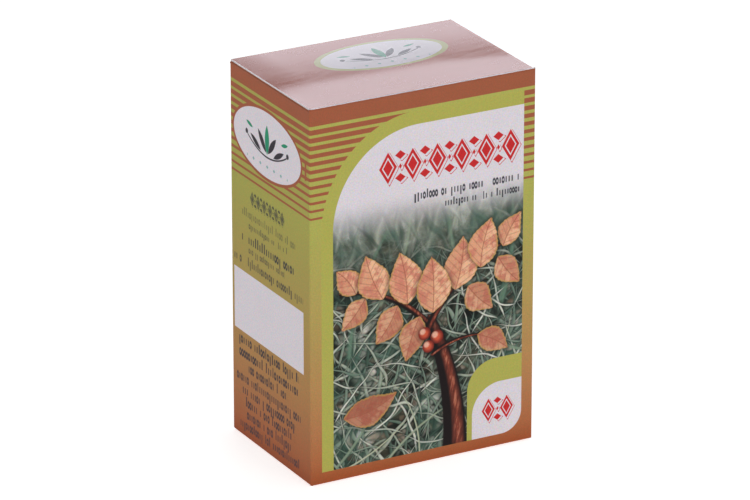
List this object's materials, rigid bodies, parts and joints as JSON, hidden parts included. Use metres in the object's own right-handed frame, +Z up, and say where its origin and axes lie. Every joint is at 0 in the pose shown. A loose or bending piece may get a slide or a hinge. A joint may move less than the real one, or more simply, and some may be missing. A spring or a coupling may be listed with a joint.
{
  "type": "folding carton",
  "caption": "Small upright folding carton of printed paperboard: a glued sleeve and bottom, and a hinged lid that tucks in over dust flaps.",
  "frame": {"origin": "centre of the footprint, on the surface that the carton stands on", "axes": "+Z up along the height; -Y out of the front panel; +X to the right as seen from the front"},
  "size_m": [0.07, 0.047, 0.11],
  "materials": {
    "printed_green": "satin varnish over a lime green to brown print, uncoated inside",
    "printed_brown": "satin varnish over a plain brown print",
    "white_board": "white coated board, matte",
    "grey_board": "uncoated grey board, matte"
  },
  "bodies": {
    "box": {"sleeve": "printed_green", "bottom_outer_flap": "printed_brown", "bottom_inner_flap": "grey_board", "bottom_dust_flap_left": "grey_board", "bottom_dust_flap_right": "grey_board"},
    "lid": {"lid_panel": "printed_brown", "tuck_tongue": "white_board"},
    "left_flap": {"dust_flap_left": "white_board"},
    "right_flap": {"dust_flap_right": "white_board"}
  },
  "joints": [
    {"name": "lid_hinge", "type": "hinge", "parent": "box", "child": "lid", "pos_m": [0, 0.02328, 0.10977], "axis": [-1, 0, 0], "range_deg": [0, 180]},
    {"name": "left_flap_hinge", "type": "hinge", "parent": "box", "child": "left_flap", "pos_m": [-0.03478, 0, 0.10892], "axis": [0, -1, 0], "range_deg": [0, 90]},
    {"name": "right_flap_hinge", "type": "hinge", "parent": "box", "child": "right_flap", "pos_m": [0.03478, 0, 0.10892], "axis": [0, 1, 0], "range_deg": [0, 90]}
  ],
  "couplings": [
    {"joint": "left_flap_hinge", "follows": "lid_hinge", "ratio": 0.5},
    {"joint": "right_flap_hinge", "follows": "lid_hinge", "ratio": 0.5}
  ]
}
